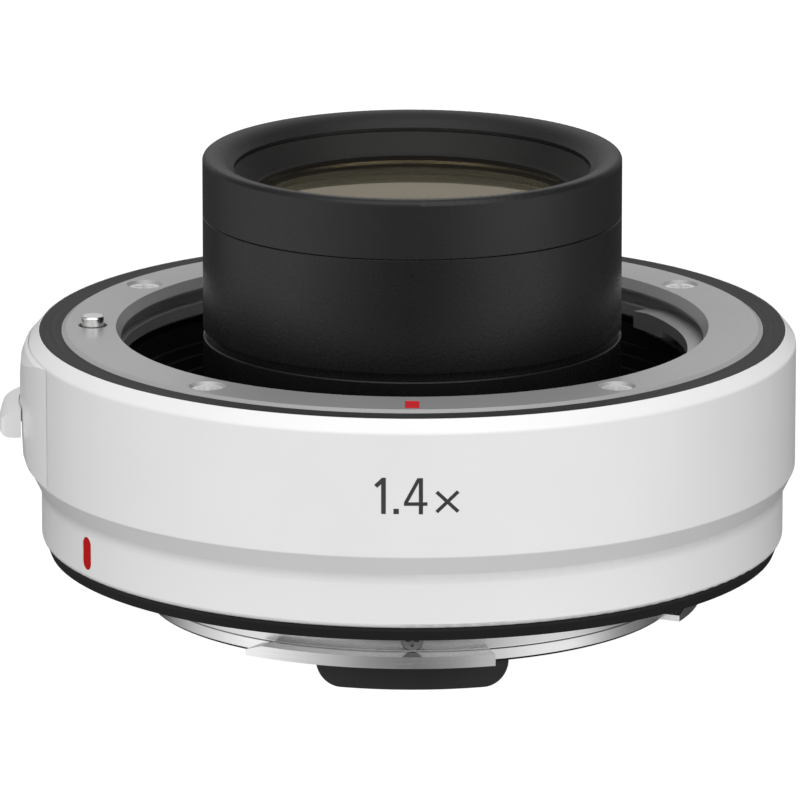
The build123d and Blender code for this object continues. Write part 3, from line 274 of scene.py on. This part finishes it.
front_glass = lens_glass("front_glass", (0.70, 0.70, 0.62), 1.52, (1.0, 0.90, 0.76))
dress(front_glass, "lens_element_1")
inner_glass = lens_glass("inner_glass", (0.60, 0.64, 0.56), 1.12, (0.7, 0.9, 0.75))
dress(inner_glass, *[f"lens_element_{number}" for number in range(2, 8)])

# The magnification number on the casing's front: flat ink strokes that follow the casing.
# Each stroke is its outlines, as places to the right and up, in millimetres
CASING_RADIUS = 35.6
INK_HEIGHT = 0.012
INK_RADIUS = CASING_RADIUS + INK_HEIGHT
LONGEST_EDGE = 0.25
CUT_ROUNDS = 3
ink = surface("dark_ink", color=(0.035, 0.034, 0.034), other=(0.045, 0.044, 0.044),
              rough=(0.4, 0.5), grain=5.0, specular=0.3)
NUMBER_OUTLINES = [
    [[(-2.78, 11.53), (-2.36, 11.53), (-2.36, 14.88), (-2.7, 14.88), (-3.4, 14.2),
      (-3.14, 13.93), (-2.78, 14.28)]],
    [[(-1.68, 11.54), (-1.2, 11.54), (-1.2, 12.02), (-1.68, 12.02)]],
    [[(0.59, 11.52), (0.96, 11.52), (0.96, 12.3), (1.36, 12.3), (1.36, 12.63), (0.96, 12.63),
      (0.96, 14.86), (0.46, 14.86), (-0.74, 12.62), (-0.74, 12.3), (0.59, 12.3)],
     [(0.59, 12.63), (0.59, 14.42), (-0.36, 12.63)]],
    [[(3.15, 12.86), (4.0, 13.68), (4.23, 13.45), (3.38, 12.64), (4.23, 11.83), (4.0, 11.6),
      (3.15, 12.42), (2.3, 11.6), (2.07, 11.83), (2.92, 12.64), (2.07, 13.45), (2.3, 13.68)]],
]


def ink_shape(name, outlines):
    """A flat shape from its outlines, cut fine and bent round the casing."""
    curve = bpy.data.curves.new(name, "CURVE")
    curve.dimensions = "2D"
    curve.fill_mode = "BOTH"
    for outline in outlines:
        spline = curve.splines.new("POLY")
        spline.points.add(len(outline) - 1)
        for point, (x, z) in zip(spline.points, outline):
            point.co = (x, z, 0, 1)
        spline.use_cyclic_u = True
    flat = bpy.data.objects.new(name + "_flat", curve)
    mesh = bpy.data.meshes.new_from_object(flat)
    bpy.data.objects.remove(flat)
    work = bmesh.new()
    work.from_mesh(mesh)
    for _ in range(CUT_ROUNDS):
        long_edges = [edge for edge in work.edges if edge.calc_length() > LONGEST_EDGE]
        if long_edges:
            bmesh.ops.subdivide_edges(work, edges=long_edges, cuts=1)
    bmesh.ops.triangulate(work, faces=work.faces)
    for vertex in work.verts:
        x, z = vertex.co.x, vertex.co.y
        y = -math.sqrt(INK_RADIUS ** 2 - x ** 2)
        vertex.co = Vector((x * MM, y * MM, z * MM))
    bmesh.ops.recalc_face_normals(work, faces=work.faces)
    for face in work.faces:
        if face.normal.y > 0:
            face.normal_flip()
    work.to_mesh(mesh)
    work.free()
    shape = bpy.data.objects.new(name, mesh)
    bpy.context.collection.objects.link(shape)
    mesh.materials.clear()
    mesh.materials.append(ink)
    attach(shape, "housing")


for index, outlines in enumerate(NUMBER_OUTLINES, start=1):
    ink_shape(f"number_stroke_{index}", outlines)

# Camera: the photograph's, fitted to the rings
LOOK_AT = Vector((0, 0, 13.05 * MM))
PITCH = math.radians(14.2)
DISTANCE = 897.4 * MM
SENSOR_WIDTH_MM = 36
LENS_MM = 434.56
PICTURE_PIXELS = 800
SHIFT_PIXELS = -12.25
NEAREST = 0.05
FARTHEST = 50
camera_data = bpy.data.cameras.new("camera")
camera_data.sensor_width = SENSOR_WIDTH_MM
camera_data.lens = LENS_MM
camera_data.shift_x = SHIFT_PIXELS / PICTURE_PIXELS
camera_data.clip_start = NEAREST
camera_data.clip_end = FARTHEST
camera = bpy.data.objects.new("camera", camera_data)
camera.location = LOOK_AT + DISTANCE * Vector((0, -math.cos(PITCH), math.sin(PITCH)))
camera.rotation_euler = (math.pi / 2 - PITCH, 0, 0)
bpy.context.collection.objects.link(camera)
bpy.context.scene.camera = camera
bpy.context.scene.view_settings.view_transform = "Standard"

# Floor: a plain pale sheet under the contact block
FLOOR_GAP = 0.02 * MM
FLOOR_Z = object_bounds()[0][2] - FLOOR_GAP
FLOOR_HALF = 6.0
floor_mesh = bpy.data.meshes.new("floor")
floor_mesh.from_pydata(
    [(-FLOOR_HALF, -FLOOR_HALF, FLOOR_Z), (FLOOR_HALF, -FLOOR_HALF, FLOOR_Z),
     (FLOOR_HALF, FLOOR_HALF, FLOOR_Z), (-FLOOR_HALF, FLOOR_HALF, FLOOR_Z)],
    [], [(0, 1, 2, 3)])
floor = bpy.data.objects.new("floor", floor_mesh)
bpy.context.collection.objects.link(floor)
floor_paint = surface("floor_paper", color=gray(0.1), other=gray(0.09), rough=(0.8, 0.9),
                      grain=0.5, specular=0.0, bump=0.02)
floor_shader = floor_paint.node_tree.nodes["Principled BSDF"]
floor_shader.inputs["Emission Color"].default_value = (1, 1, 1, 1)
floor_shader.inputs["Emission Strength"].default_value = 1.0
floor_mesh.materials.append(floor_paint)
floor.visible_diffuse = False
floor.visible_glossy = False

# Light: a soft studio dome. Each row is a height above the horizon in degrees, then the light
# at each of the turns from the front, positive towards +X. SKY_TOP brings the levels under 1
FULL_TURN = 360
HALF_TURN = 180
SKY_TURNS = [-180, -135, -100, -70, -45, -20, 0, 20, 45, 70, 100, 135, 180]
SKY_ROWS = [
    (-90, [0.02, 0.02, 0.03, 0.04, 0.04, 0.04, 0.05, 0.04, 0.04, 0.04, 0.03, 0.02, 0.02]),
    (-45, [0.02, 0.02, 0.12, 0.30, 0.16, 0.10, 0.04, 0.10, 0.14, 0.14, 0.04, 0.02, 0.02]),
    (-14, [0.05, 0.10, 1.10, 1.75, 1.20, 0.46, 0.22, 0.46, 1.35, 1.65, 0.45, 0.08, 0.05]),
    (14, [0.58, 0.40, 0.18, 0.42, 1.20, 1.30, 0.90, 1.35, 1.65, 0.52, 0.04, 0.30, 0.58]),
    (35, [1.00, 0.30, 0.18, 0.62, 2.15, 2.05, 1.30, 2.10, 2.50, 0.78, 0.06, 0.20, 1.00]),
    (60, [0.60, 0.30, 0.55, 1.20, 2.30, 2.20, 2.00, 2.20, 2.40, 1.15, 0.25, 0.25, 0.60]),
    (90, [1.25] * len(SKY_TURNS)),
]
SKY_TOP = 3.0
world = bpy.data.worlds.new("world")
bpy.context.scene.world = world
world.use_nodes = True
sky = world.node_tree
background = sky.nodes["Background"]


def sky_math(operation, first, second=None, third=None):
    """A math node; an input is a number or another node's socket."""
    made = add_node(sky, "ShaderNodeMath", operation=operation)
    for slot, value in enumerate((first, second, third)):
        if isinstance(value, (int, float)):
            made.inputs[slot].default_value = value
        elif value is not None:
            sky.links.new(value, made.inputs[slot])
    return made.outputs[0]


toward = add_node(sky, "ShaderNodeTexCoord")
split = add_node(sky, "ShaderNodeSeparateXYZ")
sky.links.new(toward.outputs["Generated"], split.inputs[0])
forward = sky_math("MULTIPLY", split.outputs["Y"], -1)
turn = sky_math("ARCTAN2", split.outputs["X"], forward)
turn_share = sky_math("MULTIPLY_ADD", turn, 1 / (2 * math.pi), 0.5)
lift = sky_math("MULTIPLY", sky_math("ARCSINE", split.outputs["Z"]), HALF_TURN / math.pi)
total = None
for index, (middle, levels) in enumerate(SKY_ROWS):
    around = add_node(sky, "ShaderNodeValToRGB")
    around.color_ramp.interpolation = "LINEAR"
    while len(around.color_ramp.elements) < len(levels):
        around.color_ramp.elements.new(0.5)
    for element, angle, level in zip(around.color_ramp.elements, SKY_TURNS, levels):
        element.position = (angle + HALF_TURN) / FULL_TURN
        share = level / SKY_TOP
        element.color = (share, share, share, 1)
    sky.links.new(turn_share, around.inputs["Fac"])
    weight = None
    for side, beside in ((-1, index - 1), (1, index + 1)):
        if 0 <= beside < len(SKY_ROWS):
            reach = abs(SKY_ROWS[beside][0] - middle)
            fade = sky_math("MULTIPLY_ADD", lift, -side / reach, 1 + side * middle / reach)
            weight = fade if weight is None else sky_math("MINIMUM", weight, fade)
    weight = sky_math("MAXIMUM", weight, 0)
    part = sky_math("MULTIPLY", weight, around.outputs["Color"])
    total = part if total is None else sky_math("ADD", total, part)
sky.links.new(sky_math("MULTIPLY", total, SKY_TOP), background.inputs["Strength"])
background.inputs["Color"].default_value = (1, 1, 1, 1)
